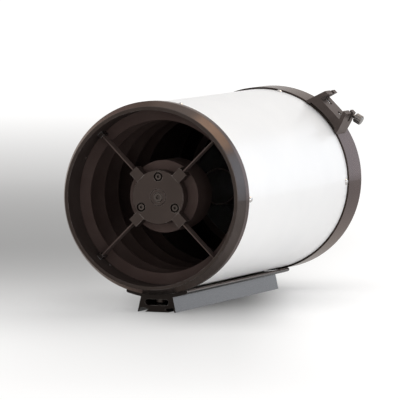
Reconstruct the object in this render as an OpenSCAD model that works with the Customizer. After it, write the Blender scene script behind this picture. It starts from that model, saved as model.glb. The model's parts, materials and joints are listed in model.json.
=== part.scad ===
// Open-front two-mirror telescope: a white steel tube between two black end rings, with a
// four-vane spider, a secondary cell, a perforated primary, a dovetail bar, a finder shoe
// and a two-speed roller focuser.
// Frame: +X to the right as seen from the sky end, +Y from the sky end to the eyepiece end,
// +Z up. The origin is the middle of the flat underside of the dovetail bar.
// A station is a distance along the optical axis, counted back from the front rim.
// An angle is counted from +X towards +Z, as seen from the sky end.

/* [Tube] */
// Outside diameter of the steel tube
tube_d = 205; // [199:0.5:212]
// Wall of the steel tube
tube_wall = 1.2; // [0.8:0.1:1.6]
// Length of tube that shows between the end rings
tube_show = 342; // [325:1:380]
// Length of tube held inside each end ring
tube_seat = 8; // [6:0.5:9]

/* [End rings] */
// Length of the front ring outside the tube
front_len = 22.5; // [21:0.5:26]
// Length of the cone behind the rim
cone_len = 12.5; // [8:0.5:13]
// Wall of the ring around the tube end
skirt_t = 2; // [1.4:0.1:3]
// How far the rim steps in from the full ring radius
rim_step = 5.4; // [4:0.1:6.5]
// Edge rounding of the rings
ring_round = 0.7; // [0.5:0.1:1.5]
// Wall of the sleeve inside the tube
sleeve_t = 6.15; // [5:0.05:8]
// Length of the front bore that takes a dust cap
lip_len = 12; // [8:0.5:16]
// Step behind that bore
lip_step = 0.6; // [0.3:0.1:1]
// Length of the front sleeve behind the front ring
front_sleeve = 18; // [15:0.5:24]
// Length of the rear ring outside the tube
rear_len = 45; // [42:0.5:52]
// Length of the rear sleeve ahead of the rear ring
rear_sleeve = 20; // [17:0.5:22]
// Thickness of the back wall
back_t = 8; // [6:0.5:10]
// Gap between the neck and the hole in the back wall
neck_gap = 2.5; // [1.5:0.1:4]

/* [Tube screws] */
// Angle between one tube screw and the next
tube_screw_step = 77.5; // [70:0.5:80]
// Tube screws at each end
tube_screws = 4; // [3:1:4]
// Distance of the front screws behind the front ring
front_screw_set = 8.8; // [6:0.1:12]
// Distance of the rear screws ahead of the rear ring
rear_screw_set = 4.8; // [4.2:0.1:9]
// Head diameter of a tube screw
tube_head_d = 7; // [6:0.1:8]
// Head height of a tube screw
tube_head_h = 2.4; // [1.8:0.1:3]
// Thread diameter of a tube screw
tube_thread_d = 4; // [3:0.5:4.5]

/* [Spider] */
// Diameter of the hub
hub_d = 59; // [56:0.5:64]
// Thickness of the hub
hub_t = 14; // [13:0.5:18]
// Station of the front face of the hub
hub_set = 22.5; // [20:0.5:25]
// Bevel round the hub face
hub_bevel = 0.8; // [0.5:0.1:1.5]
// Width of a lug that grips a vane
lug_w = 11; // [8:0.5:13]
// Reach of a lug past the hub edge
lug_reach = 11; // [9:0.5:13]
// Depth of a lug inside the hub edge
lug_root = 1.6; // [1.4:0.1:3]
// Height of a lug ahead of the hub face
lug_proud = 0.6; // [0.5:0.1:2]
// Thickness of a vane
vane_t = 1.2; // [0.8:0.1:2]
// Depth of a vane along the axis
vane_deep = 12.5; // [10:0.5:13]
// Set-back of a vane from the lug face
vane_inset = 0.8; // [0.5:0.1:1.5]
// Grip of a vane in its lug
vane_grip = 6; // [4:0.5:7]
// Width of the block that anchors a vane to the ring
anchor_w = 6; // [5:0.5:9]
// Reach of that block in from the ring
anchor_reach = 4.5; // [3.5:0.5:6]

/* [Tube baffles] */
// Reach of a tube baffle in past the front bore
baffle_in = 12; // [9:0.5:15]
// Thickness of a tube baffle
baffle_t = 1; // [0.8:0.1:2]
// Distance from one tube baffle to the next
baffle_pitch = 43; // [36:0.5:48]
// Gap between the vanes and the first baffle
baffle_gap = 0.9; // [0.5:0.1:2]

/* [Secondary mirror] */
// Diameter of the secondary cell
cell_d = 78.6; // [76:0.2:84]
// Length of the secondary cell with its shroud
cell_len = 44; // [36:0.5:56]
// Gap between the hub and the secondary cell
cell_gap = 5.5; // [4:0.1:7]
// Thickness of the plate of the secondary cell
cell_plate = 6; // [5:0.5:8]
// Wall of the secondary cell
cell_wall = 2.6; // [2:0.1:3.2]
// Thickness of the secondary mirror
secondary_t = 12; // [9:0.5:14]
// Radius of the curved face of the secondary mirror
secondary_curve = 600; // [500:10:900]
// Distance of the three tilt screws from the edge of the hub
tilt_edge = 7.2; // [6.5:0.1:9]
// Head diameter of a tilt screw
tilt_head_d = 6.4; // [5.5:0.1:7]
// Thread diameter of a tilt screw
tilt_thread_d = 4; // [3:0.5:5]
// Diameter of the recess round a tilt screw
tilt_recess_d = 10.2; // [9:0.1:11]
// Depth of the recess round a tilt screw
tilt_recess = 6; // [5:0.1:7]
// Gap between a tilt screw and the secondary cell
tilt_gap = 0.6; // [0.5:0.05:0.9]
// Diameter of the recess round the centre bolt
centre_recess_d = 17.6; // [16:0.2:19]
// Depth of the recess round the centre bolt
centre_recess = 5.4; // [4.8:0.1:6]
// Head diameter of the centre bolt
centre_head_d = 9.4; // [8:0.2:10.5]
// Thread diameter of the centre bolt
centre_thread_d = 6; // [5:0.5:6]
// Radius of the ball seat under the centre bolt
ball_r = 11; // [10:0.2:12]
// Thickness of the ball washer under the head of the centre bolt, at its rim
ball_rim = 1; // [0.6:0.1:1.2]
// Depth of the ball washer below the hub face
washer_sink = 0.5; // [0.3:0.1:1]
// Room round the head of the centre bolt in the ball washer
head_room = 0.6; // [0.5:0.1:0.9]
// Bevel round the recess of the centre bolt
recess_bevel = 0.6; // [0.3:0.1:1]
// Room round the centre bolt in the hub
bolt_room = 0.9; // [0.7:0.1:1.2]

/* [Dovetail bar] */
// Width of the bar at its foot
bar_w = 44; // [42:0.2:46]
// Height of the bar below its wings
bar_h = 15; // [14:0.1:18]
// Narrowing of each side of the bar per unit of height
bar_slope = 0.227; // [0.2:0.005:0.268]
// Width across the wings
wing_w = 70; // [62:0.5:76]
// Thickness of a wing
wing_t = 4.3; // [3.5:0.1:5]
// Lap of the bar under the front ring
bar_lap = 2; // [1:0.1:5]
// Gap between the bar and the rear ring
bar_gap = 3.5; // [1:0.1:6]
// Diameter of each seat that fills the gap between the bar and the tube
bar_seat_d = 14; // [10:0.5:18]
// Width of the long hollow in the bar
hollow_w = 27; // [22:0.5:28]
// Height of the long hollow in the bar
hollow_h = 6.6; // [6:0.1:7]
// Height of the middle of the hollow above the foot
hollow_up = 10.6; // [10.3:0.1:11]
// Width of the middle foot between the grooves
foot_w = 26.8; // [24:0.2:28]
// Width of the lip outside each groove
lip_w = 1.8; // [1.4:0.1:2.4]
// Depth of each groove
groove_h = 5; // [4:0.1:5.2]
// Undercut of each groove into the foot
groove_in = 4; // [2:0.1:4.5]
// Head diameter of a bar bolt
bar_head_d = 9; // [8:0.2:10]
// Head height of a bar bolt
bar_head_h = 4; // [3.5:0.1:4.5]
// Thread diameter of a bar bolt
bar_thread_d = 5; // [4:0.5:6]
// Room round a bar bolt head in its access hole
access_room = 0.6; // [0.4:0.1:1]
// Distance of a bar bolt from its end ring
bar_bolt_set = 10.5; // [8:0.5:11]

/* [Finder shoe] */
// Angle at which the shoe sits on the rear ring
shoe_angle = 45; // [40:1:55]
// Length of the shoe
shoe_len = 35; // [32:0.5:40]
// Overhang of the shoe ahead of the rear ring
shoe_ahead = 4.5; // [2:0.5:6]
// Height of the shoe floor above the ring
shoe_floor = 11.4; // [10:0.1:14]
// Height of the jaws above the floor
jaw_h = 10.2; // [9:0.1:12]
// Width of the shoe at the ring
shoe_base_w = 53; // [50:0.5:56]
// Width over the jaws at their tops
shoe_top_w = 36; // [34:0.5:40]
// Width of each foot of the shoe on the ring
shoe_foot_w = 4.5; // [3:0.5:7]
// Height of the arch between the feet above the ring
shoe_arch = 2.2; // [1:0.1:3]
// Corner radius at the back of the shoe
shoe_corner = 6; // [3:0.5:8]
// Width of the channel at its floor
channel_w = 32.4; // [31:0.1:33]
// Width of the channel at its mouth
mouth_w = 26.4; // [25:0.1:28]
// Offset of each floor slot from the middle of the channel
slot_off = 10.6; // [9:0.1:11]
// Length of a floor slot
slot_len = 10.4; // [9:0.1:11]
// Station of the floor slots behind the front of the shoe
slot_set = 19.5; // [14:0.5:22]
// Head diameter of a shoe bolt
shoe_head_d = 5.5; // [5:0.1:6]
// Head height of a shoe bolt
shoe_head_h = 3; // [2.5:0.1:3.5]
// Thread diameter of a shoe bolt
shoe_thread_d = 3; // [2.5:0.5:3.5]
// Length of the relief cut through both jaws
relief_w = 7; // [4:0.5:9]
// Station of the relief cut behind the front of the shoe
relief_set = 18.5; // [15:0.5:20]
// Head diameter of the shoe thumbscrew
shoe_thumb_d = 11; // [9:0.2:12]
// Head length of the shoe thumbscrew
shoe_thumb_h = 9; // [6:0.5:10]
// Gap between the thumbscrew head and the jaw
shoe_thumb_out = 2.4; // [2:0.1:5]

/* [Primary mirror] */
// Diameter of the primary mirror
mirror_d = 155; // [150:1:160]
// Thickness of the primary mirror at its edge
mirror_t = 24; // [20:0.5:26]
// Gap between the baffle tube and the hole of the primary mirror
hole_gap = 1.3; // [0.8:0.1:2.5]
// Radius of the hollow face of the primary mirror
mirror_curve = 915; // [800:5:1200]
// Wall of the primary cell round the mirror
rim_wall = 4; // [3:0.1:5]
// Thickness of the plate of the primary cell
plate_t = 13; // [11:0.5:15]
// Gap between the primary cell and the back wall
plate_gap = 10; // [8:0.5:11]
// Thickness of the ring that retains the mirror
retainer_t = 2; // [1.5:0.1:3]
// Overlap of that ring on the mirror
retainer_lap = 3; // [2:0.1:4]
// Gap between the drawtube and the bore of the neck
neck_room = 2; // [1.2:0.1:3]
// Gap between the neck and the focuser
neck_short = 1.2; // [0.9:0.1:2]
// Circle of the collimation screws
pair_circle_d = 140; // [134:1:144]
// Angle between the two screws of a pair
pair_step = 15; // [12:0.5:20]
// Thread diameter of a pull screw
pull_thread_d = 5; // [4:0.5:6]
// Head diameter of a pull screw
pull_head_d = 9.6; // [8.5:0.1:11]
// Head height of a pull screw
pull_head_h = 5; // [4:0.5:6]
// Thread diameter of a push screw
push_thread_d = 6; // [5:0.5:7]
// Gap between a push screw and the primary cell
push_gap = 0.65; // [0.6:0.05:0.9]
// Length of a push screw that stands out of the back wall
push_proud = 2; // [1:0.5:4]
// Width of the foam seal round the neck
seal_w = 6; // [4:0.5:8]
// Gap on each side of the foam seal
seal_gap = 0.5; // [0.45:0.05:0.8]

/* [Baffle tube] */
// Outside diameter of the baffle tube at its base
stalk_d = 50.4; // [48:0.2:51]
// Outside diameter of the baffle tube at its mouth
stalk_tip_d = 41; // [38:0.5:46]
// Wall of the baffle tube
stalk_wall = 1.3; // [1:0.1:1.8]
// Length of the baffle tube ahead of the primary mirror
stalk_len = 135; // [100:1:150]
// Height of the flange at its base
stalk_flange = 2; // [1.5:0.1:3]

/* [Focuser] */
// Gap between the adapter ring and the back wall
adapter_gap = 1.2; // [0.9:0.1:1.6]
// Diameter of the adapter ring
adapter_d = 104; // [100:0.5:110]
// Wall of the adapter ring round the neck
adapter_wall = 6.85; // [5.5:0.05:9]
// Lap of the focuser flange on the adapter ring
flange_lap = 4.85; // [3:0.05:6]
// Thickness of the focuser flange
flange_t = 5; // [4:0.5:5.5]
// Wall of the focuser barrel outside its rollers
barrel_wall = 1.6; // [1.2:0.1:3]
// Gap between a coarse knob and the focuser flange
knob_room = 1.2; // [0.8:0.1:3]
// Gap between the baffle tube and the drawtube when closed
draw_room = 2; // [1:0.1:4]
// Length of the focuser body
body_len = 44; // [43:0.5:50]
// Outside diameter of the drawtube
draw_d = 58; // [57:0.2:59]
// Wall of the drawtube
draw_wall = 3; // [2.8:0.1:3.2]
// Depth of the flat under the drawtube
draw_flat = 1.4; // [1:0.1:1.6]
// Travel of the drawtube
draw_travel = 40; // [30:1:42]
// Gap between the drawtube and the barrel
draw_gap = 0.4; // [0.3:0.05:0.6]
// Diameter of a roller
roller_d = 8; // [7:0.2:8]
// Width of a roller
roller_w = 5; // [4:0.5:6]
// Diameter of the pin of a roller
roller_pin_d = 2.5; // [2:0.1:3]
// Length of the pin of a roller
roller_pin = 10; // [9:0.5:11]
// Angle of the rollers on each side of the top
roller_angle = 30; // [26:1:34]
// Distance between the two rows of rollers
roller_row = 24; // [23:0.5:26]
// Diameter of the focus shaft
shaft_d = 6; // [5:0.1:6.4]
// Width of the housing below the barrel
housing_w = 66; // [62:0.5:72]
// Length of the housing below the barrel
housing_len = 28; // [26:0.5:32]
// Depth of the housing below the optical axis
housing_drop = 44; // [43:0.5:48]
// Width of the saddle that carries the shaft
saddle_w = 36; // [32:0.5:38]
// Length of the saddle
saddle_len = 16; // [14:0.5:18]
// Depth of the saddle below the shaft
saddle_drop = 7; // [6:0.5:8]
// Thickness of the cover below the housing
cover_t = 3; // [2.5:0.1:4]
// Thread diameter of a cover screw
cover_thread_d = 3; // [2.5:0.5:3]
// Head diameter of a cover screw
cover_head_d = 5.4; // [5:0.1:6]
// Head height of a cover screw
cover_head_h = 2.1; // [1.6:0.1:3]
// Grip of a cover screw in the housing
cover_grip = 5; // [4:0.5:6]
// Diameter of a coarse knob
coarse_d = 34; // [30:0.5:35]
// Width of a coarse knob
coarse_w = 15; // [12:0.5:18]
// Diameter of the fine knob
fine_d = 22; // [18:0.5:26]
// Width of the fine knob
fine_w = 11; // [9:0.5:14]
// Diameter of the spindle of the fine knob
fine_pin_d = 8; // [7:0.2:9]
// Length of the spindle of the fine knob
fine_pin = 5; // [4:0.5:6]
// Head diameter of the focuser thumbscrews
focus_thumb_d = 14; // [12:0.5:16]
// Head length of the focuser thumbscrews
focus_thumb_h = 9; // [8:0.5:12]
// Thread diameter of the focuser thumbscrews
focus_thread_d = 5; // [4:0.5:6]

/* [Eyepiece collar] */
// Bore for a two-inch eyepiece barrel
eyepiece_d = 50.9; // [50.8:0.05:51.2]
// Wall of the collar round the drawtube
collar_wall = 4.35; // [3.5:0.05:7]
// Length of the collar
collar_len = 28; // [26:0.5:34]
// Length of drawtube held in the collar
collar_seat = 8; // [6:0.5:10]
// Bevel of the collar
collar_bevel = 1.75; // [1:0.05:2.5]
// Gap between the collar and the focuser body when closed
collar_gap = 3; // [1:0.5:5]
// Width of the brass clamp ring
clamp_w = 5.6; // [5:0.1:7]
// Thickness of the brass clamp ring
clamp_t = 1.9; // [1.5:0.1:2]
// Station of the clamp ring ahead of the mouth of the collar
clamp_set = 9; // [8:0.5:11]
// Split in the clamp ring
clamp_split = 3; // [2:0.5:6]
// Angle of each collar screw from the top
collar_angle = 50; // [45:1:60]
// Head diameter of a collar screw
collar_thumb_d = 11; // [9:0.5:13]
// Head length of a collar screw
collar_thumb_h = 9; // [7:0.5:11]
// Thread diameter of the collar and shoe thumbscrews
thumb_thread_d = 4; // [3:0.5:4]

/* [Clearances] */
// Gap between pieces that are fastened together
fit = 0.15; // [0.1:0.01:0.2]
// Gap round a thread or a shaft that turns
run = 0.08; // [0.05:0.01:0.1]
// Gap between pieces that move past each other
clear = 0.3; // [0.25:0.01:0.35]

/* [Hidden] */
$fn = 96;
// Overshoot of a cut past the face it leaves by
over = 1;
// Number of grip flutes round a knob
adapter_flutes = 36;
coarse_flutes = 20;
fine_flutes = 16;
thumb_flutes = 12;
// Radius of a flute as a share of the flute pitch
flute_share = 0.33;
// Share of the flute radius that bites into a knob
flute_bite = 0.45;
// Bevel of a knob as a share of its length
bevel_share = 0.1;
// Width and floor height of a key socket, as shares of the thread and the head
key_share = 0.9;
key_floor = 0.45;
// Width and length of a cross slot, as shares of the head
cross_share = 0.14;
cross_reach = 0.55;
// Height of the nose of a bar groove as a share of its depth
nose_share = 0.65;
// Steps across a curved mirror face
dish_steps = 12;
// Counts of the pieces that repeat
vanes = 4;
baffles = 5;
pairs = 3;
rollers = 4;
collar_screws = 2;

black = [0.10, 0.10, 0.105];
satin_black = [0.16, 0.16, 0.165];
white = [0.94, 0.94, 0.93];
steel = [0.72, 0.72, 0.74];
chrome = [0.85, 0.85, 0.87];
brass = [0.80, 0.63, 0.30];
mirror_tint = [0.78, 0.82, 0.86];
foam = [0.22, 0.22, 0.22];
bar_grey = [0.24, 0.24, 0.25];

// Radii of the tube and the rings
tube_r = tube_d / 2;
tube_ir = tube_r - tube_wall;
ring_r = tube_r + fit + skirt_t;
rim_r = ring_r - rim_step;
sleeve_r = tube_ir - fit;
aperture_r = sleeve_r - sleeve_t;
sleeve_ir = aperture_r + lip_step;

// Stations of the tube and the rings
s_tube = front_len - tube_seat;
s_front_sleeve = front_len + front_sleeve;
s_rear = front_len + tube_show;
s_tube_end = s_rear + tube_seat;
s_rear_sleeve = s_rear - rear_sleeve;
s_back = s_rear + rear_len;
s_wall = s_back - back_t;
s_front_screw = front_len + front_screw_set;
s_rear_screw = s_rear - rear_screw_set;

// Height of the optical axis and station of the origin
wing_in = ring_r + fit;
wing_r = wing_in + wing_t;
axis_h = wing_r + bar_h;
s_origin = front_len + tube_show / 2;

// Spider and secondary
hub_r = hub_d / 2;
s_hub_back = hub_set + hub_t;
s_lug = hub_set - lug_proud;
s_vane = s_lug + vane_inset;
s_vane_end = s_vane + vane_deep;
vane_root = hub_r + lug_reach - vane_grip;
vane_tip = aperture_r + lip_step / 2;
anchor_r = aperture_r - anchor_reach;
s_anchor = s_vane - vane_inset;
s_baffle = s_vane_end + baffle_gap;
tilt_r = hub_r - tilt_edge;
s_cell = s_hub_back + cell_gap;
s_cell_plate = s_cell + cell_plate;
cell_ir = cell_d / 2 - cell_wall;
secondary_r = cell_ir - fit;
s_secondary = s_cell_plate + fit;
s_secondary_edge = s_secondary + secondary_t;

// The secondary tilts about the middle of the ball seat under the centre bolt
s_recess = hub_set + centre_recess;
s_pivot = s_recess - sqrt(ball_r * ball_r - pow(centre_recess_d / 2, 2));
s_ball_top = s_recess - ball_rim;
s_washer = hub_set + washer_sink;
washer_r = centre_recess_d / 2 - clear;
bolt_hole_r = centre_thread_d / 2 + bolt_room;

// Dovetail bar
s_bar = front_len - bar_lap;
bar_len = s_rear - bar_gap - s_bar;
bolt_stations = [front_len + bar_bolt_set, s_rear - bar_bolt_set];
hollow_top_r = axis_h - hollow_up - hollow_h / 2;

// Finder shoe
s_shoe = s_rear - shoe_ahead;
floor_r = ring_r + shoe_floor;
jaw_r = floor_r + jaw_h;
shoe_screw_r = floor_r + jaw_h / 2;
shoe_screw_v = (channel_w + mouth_w) / 4;
shoe_root = ring_r - 2 * skirt_t;
shoe_slope = (shoe_base_w - shoe_top_w) / 2 / (jaw_r - shoe_root);
s_slot = s_shoe + slot_set;
s_shoe_screw = s_shoe + (relief_set + relief_w + shoe_len) / 2;

// The thumbscrew stands square to the leaning side of the channel
shoe_screw_lean = atan((channel_w - mouth_w) / 2 / jaw_h);
shoe_screw_wall = (shoe_side(shoe_screw_r) - shoe_screw_v) / cos(shoe_screw_lean);

function shoe_side(r) = shoe_top_w / 2 + (jaw_r - r) * shoe_slope;

// Primary mirror and its cell
plate_back = s_wall - plate_gap;
plate_front = plate_back - plate_t;
mirror_r = mirror_d / 2;
mirror_back = plate_front - fit;
mirror_edge = mirror_back - mirror_t;
cell_rim_ir = mirror_r + clear;
cell_rim_r = cell_rim_ir + rim_wall;
neck_r = adapter_d / 2 - adapter_wall - fit;
back_hole_r = neck_r + neck_gap;
neck_bore_r = draw_d / 2 + neck_room;
pair_r = pair_circle_d / 2;
stalk_r = stalk_d / 2;
stalk_tip_r = stalk_tip_d / 2;
s_stalk_seat = plate_front + plate_t / 2;
s_stalk_tip = mirror_edge - stalk_len;
seal_ir = neck_r + clear + seal_gap;

// Focuser
draw_r = draw_d / 2;
s_adapter = s_back + adapter_gap;
s_draw = s_stalk_seat + stalk_flange + draw_room;
s_first_roller = s_draw + draw_travel + roller_d / 2;
s_rollers = [s_first_roller, s_first_roller + roller_row];
s_shaft = s_first_roller + roller_row / 2;
s_body = s_shaft - coarse_d / 2 - knob_room - flange_t;
s_body_end = s_body + body_len;
adapter_len = s_body - s_adapter;
flange_r = neck_r + fit + flange_lap;
neck_end = s_body - neck_short;
barrel_ir = draw_r + draw_gap;
shaft_r = shaft_d / 2;
flat_drop = draw_r - draw_flat;
shaft_drop = flat_drop + run + shaft_r;
saddle_top = flat_drop + 2 * draw_gap;
saddle_bottom = shaft_drop + saddle_drop;
roller_r = draw_r + run + roller_d / 2;
pocket_r = roller_r + roller_d / 2 + clear;
barrel_r = pocket_r + barrel_wall;
roller_angles = [90 - roller_angle, 90 + roller_angle];
knob_x = barrel_r + 2 * clear;
fine_x = knob_x + coarse_w + clear;
s_collar = s_body_end + collar_gap;
s_collar_seat = s_collar + collar_seat;
s_mouth = s_collar + collar_len;
s_clamp = s_mouth - clamp_set;
eyepiece_r = eyepiece_d / 2;
collar_r = draw_r + fit + collar_wall;
clamp_ir = eyepiece_r + run;
clamp_r = clamp_ir + clamp_t;
groove_r = clamp_r + fit;

function numbered(name, count) = [for (i = [1:count]) str(name, "_", i)];

// Placing helpers: inside at_station, local z runs back along the axis and local y runs down
module at_station(s) {
    translate([0, s - s_origin, axis_h]) rotate([-90, 0, 0]) children();
}

module around(angle) {
    rotate([0, 0, -angle]) children();
}

// Local z points out from the axis
module radial(angle, r) {
    around(angle) translate([r, 0, 0]) rotate([0, 90, 0]) children();
}

// Local z points to the sky end
module facing_front() {
    rotate([180, 0, 0]) children();
}

// Local z points down
module facing_down() {
    rotate([-90, 0, 0]) children();
}

module revolve(profile) {
    rotate_extrude() polygon(profile);
}

module hollow_ring(r_out, r_in, len) {
    difference() {
        cylinder(r = r_out, h = len);
        translate([0, 0, -over]) cylinder(r = r_in, h = len + 2 * over);
    }
}

// Flutes that bite into the rim of a knob
module flutes(d, len, count) {
    flute_r = PI * d / count * flute_share;
    for (i = [0:count - 1])
        rotate([0, 0, 360 * i / count])
            translate([d / 2 + flute_r * (1 - flute_bite), 0, -over])
                cylinder(r = flute_r, h = len + 2 * over, $fn = 24);
}

// Turned blank with both edges bevelled
module knob_blank(d, len) {
    bevel = len * bevel_share;
    revolve([
        [0, 0],
        [d / 2 - bevel, 0],
        [d / 2, bevel],
        [d / 2, len - bevel],
        [d / 2 - bevel, len],
        [0, len]
    ]);
}

// Thumbscrew with its head above z = 0 and its thread below
module thumbscrew(head_d, head_len, thread_d, thread_len) {
    difference() {
        knob_blank(head_d, head_len);
        flutes(head_d, head_len, thumb_flutes);
    }
    translate([0, 0, -thread_len]) cylinder(d = thread_d, h = thread_len + head_len / 2);
}

// Socket screw with its head above z = 0 and its thread below
module socket_screw(head_d, head_len, thread_d, thread_len) {
    key_d = thread_d * key_share;
    shank = thread_len + head_len * key_floor / 2;
    difference() {
        union() {
            cylinder(d = head_d, h = head_len);
            translate([0, 0, -thread_len]) cylinder(d = thread_d, h = shank);
        }
        translate([0, 0, head_len * key_floor]) cylinder(d = key_d, h = head_len, $fn = 6);
    }
}

// Domed cross-head screw with its head above z = 0 and its thread below
module dome_screw(head_d, head_len, thread_d, thread_len) {
    dome_r = (pow(head_d / 2, 2) + head_len * head_len) / (2 * head_len);
    cross_w = head_d * cross_share;
    cross_len = head_d * cross_reach;
    shank = thread_len + head_len * key_floor / 2;
    difference() {
        union() {
            intersection() {
                cylinder(d = head_d + over, h = head_len + over);
                translate([0, 0, head_len - dome_r]) sphere(r = dome_r);
            }
            translate([0, 0, -thread_len]) cylinder(d = thread_d, h = shank);
        }
        for (turn = [0, 90])
            rotate([0, 0, turn])
                translate([-cross_len / 2, -cross_w / 2, head_len / 2])
                    cube([cross_len, cross_w, head_len]);
    }
}

// Flat outline with round ends
module slot_outline(len, width) {
    square([len - width, width], center = true);
    for (side = [-1, 1])
        translate([side * (len - width) / 2, 0]) circle(d = width);
}

// Places of the fasteners that pass through several pieces
module at_tube_screws(s, r) {
    at_station(s)
        for (i = [0:tube_screws - 1])
            radial(i * tube_screw_step, r) children();
}

module at_bar_bolts(r) {
    for (s = bolt_stations)
        at_station(s) radial(270, r) children();
}

// Inside the finder shoe, local x runs out from the axis and local y across the channel
module in_shoe(s) {
    at_station(s) around(shoe_angle) children();
}

module at_shoe_bolts(r) {
    in_shoe(s_slot)
        for (side = [-1, 1])
            translate([r, side * slot_off, 0]) rotate([0, 90, 0]) children();
}

module at_shoe_screw(out) {
    in_shoe(s_shoe_screw)
        translate([shoe_screw_r, shoe_screw_v, 0])
            rotate(-shoe_screw_lean) facing_down() translate([0, 0, out]) children();
}

function pair_angle(i) = 90 + 120 * (i - 1);

module at_pair(i, turn, s) {
    at_station(s) around(pair_angle(i) + turn) translate([pair_r, 0, 0]) children();
}

module tube() {
    thread_hole_r = tube_thread_d / 2 + fit;
    bolt_hole = bar_thread_d / 2 + fit;
    color(white)
        difference() {
            at_station(s_tube) hollow_ring(tube_r, tube_ir, s_tube_end - s_tube);
            for (s = [s_front_screw, s_rear_screw])
                at_tube_screws(s, sleeve_r)
                    cylinder(r = thread_hole_r, h = tube_r + over - sleeve_r);
            at_bar_bolts(sleeve_r) cylinder(r = bolt_hole, h = tube_r + over - sleeve_r);
        }
}

// Tapped holes that the sleeves share
module sleeve_holes(s_screws, s_bolt) {
    at_tube_screws(s_screws, aperture_r - over)
        cylinder(d = tube_thread_d + 2 * run, h = ring_r - aperture_r);
    at_station(s_bolt)
        radial(270, aperture_r - over) cylinder(d = bar_thread_d + 2 * run, h = ring_r - aperture_r);
}

module front_profile() {
    groove_s = s_tube - fit;
    edge_r = rim_r - ring_round;
    polygon([
        [aperture_r + ring_round / 2, 0],
        [edge_r, 0],
        [rim_r, ring_round],
        [ring_r, cone_len],
        [ring_r, front_len],
        [tube_r + fit, front_len],
        [tube_r + fit, groove_s],
        [sleeve_r, groove_s],
        [sleeve_r, s_front_sleeve],
        [sleeve_ir, s_front_sleeve],
        [sleeve_ir, lip_len],
        [aperture_r, lip_len],
        [aperture_r, ring_round / 2]
    ]);
    translate([edge_r, ring_round]) circle(r = ring_round);
}

module front_ring() {
    anchor_len = s_vane_end - s_anchor + fit;
    color(satin_black)
        difference() {
            union() {
                at_station(0) rotate_extrude() front_profile();
                at_station(s_anchor)
                    intersection() {
                        for (i = [1:vanes])
                            around(vane_angle(i))
                                translate([anchor_r, -anchor_w / 2, 0])
                                    cube([ring_r - anchor_r, anchor_w, anchor_len]);
                        cylinder(r = sleeve_ir + lip_step, h = anchor_len);
                    }
            }
            at_station(s_vane - fit)
                for (i = [1:vanes])
                    around(vane_angle(i))
                        translate([anchor_r - over, -vane_t / 2 - fit, 0])
                            cube([vane_tip + fit - anchor_r + over, vane_t + 2 * fit, vane_deep + over]);
            sleeve_holes(s_front_screw, bolt_stations[0]);
        }
}

module rear_profile() {
    groove_s = s_tube_end + fit;
    edge_r = ring_r - ring_round;
    polygon([
        [aperture_r, s_rear_sleeve],
        [sleeve_r, s_rear_sleeve],
        [sleeve_r, groove_s],
        [tube_r + fit, groove_s],
        [tube_r + fit, s_rear],
        [ring_r, s_rear],
        [ring_r, s_back - ring_round],
        [edge_r, s_back],
        [back_hole_r, s_back],
        [back_hole_r, s_wall],
        [aperture_r, s_wall]
    ]);
    translate([edge_r, s_back - ring_round]) circle(r = ring_round);
}

module rear_ring() {
    color(satin_black)
        difference() {
            at_station(0) rotate_extrude() rear_profile();
            sleeve_holes(s_rear_screw, bolt_stations[1]);
            at_shoe_bolts(aperture_r + skirt_t)
                cylinder(d = shoe_thread_d + 2 * run, h = floor_r - aperture_r);
            for (i = [1:pairs]) {
                at_pair(i, 0, s_wall - over)
                    cylinder(d = pull_thread_d + 2 * run, h = back_t + 2 * over);
                at_pair(i, pair_step, s_wall - over)
                    cylinder(d = push_thread_d + 2 * run, h = back_t + 2 * over);
            }
        }
}

function vane_angle(i) = 45 + 360 / vanes * (i - 1);

module hub_body() {
    revolve([
        [0, 0],
        [hub_r - hub_bevel, 0],
        [hub_r, hub_bevel],
        [hub_r, hub_t],
        [0, hub_t]
    ]);
    translate([0, 0, -lug_proud])
        for (i = [1:vanes])
            around(vane_angle(i))
                translate([hub_r - lug_root, -lug_w / 2, 0])
                    cube([lug_root + lug_reach, lug_w, hub_t + lug_proud]);
}

module spider_hub() {
    color(black)
        difference() {
            at_station(hub_set) hub_body();
            at_station(s_vane - fit)
                for (i = [1:vanes])
                    around(vane_angle(i))
                        translate([vane_root - fit, -vane_t / 2 - fit, 0])
                            cube([vane_grip + over, vane_t + 2 * fit, hub_t]);
            for (i = [1:pairs])
                at_station(hub_set) around(pair_angle(i)) translate([tilt_r, 0, 0]) {
                    translate([0, 0, -over]) cylinder(d = tilt_recess_d, h = tilt_recess + over);
                    cylinder(d = tilt_thread_d + 2 * run, h = hub_t + over);
                }
            at_station(hub_set) translate([0, 0, -over]) {
                cylinder(d = centre_recess_d, h = centre_recess + over);
                cylinder(r = bolt_hole_r, h = hub_t + 2 * over);
            }
            at_station(hub_set)
                cylinder(d1 = centre_recess_d + 2 * recess_bevel, d2 = centre_recess_d, h = recess_bevel);
            intersection() {
                at_station(hub_set) cylinder(d = centre_recess_d, h = hub_t);
                at_station(s_pivot) sphere(r = ball_r);
            }
        }
}

module spider_vane(i) {
    color(black)
        at_station(s_vane)
            around(vane_angle(i))
                translate([vane_root, -vane_t / 2, 0])
                    cube([vane_tip - vane_root, vane_t, vane_deep]);
}

// The first baffle sits in the front sleeve, the others in the tube
module tube_baffle(i) {
    outer_r = (i == 1 ? sleeve_ir : tube_ir) - fit;
    color(black)
        at_station(s_baffle + (i - 1) * baffle_pitch)
            hollow_ring(outer_r, aperture_r - baffle_in, baffle_t);
}

module tube_screw_set(s) {
    thread_len = tube_r - aperture_r - 2 * lip_step;
    color(chrome)
        at_tube_screws(s, tube_r + run / 2)
            dome_screw(tube_head_d, tube_head_h, tube_thread_d, thread_len);
}

module front_screws() {
    tube_screw_set(s_front_screw);
}

module rear_screws() {
    tube_screw_set(s_rear_screw);
}

function bar_side(up) = bar_w / 2 - up * bar_slope;

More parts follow.
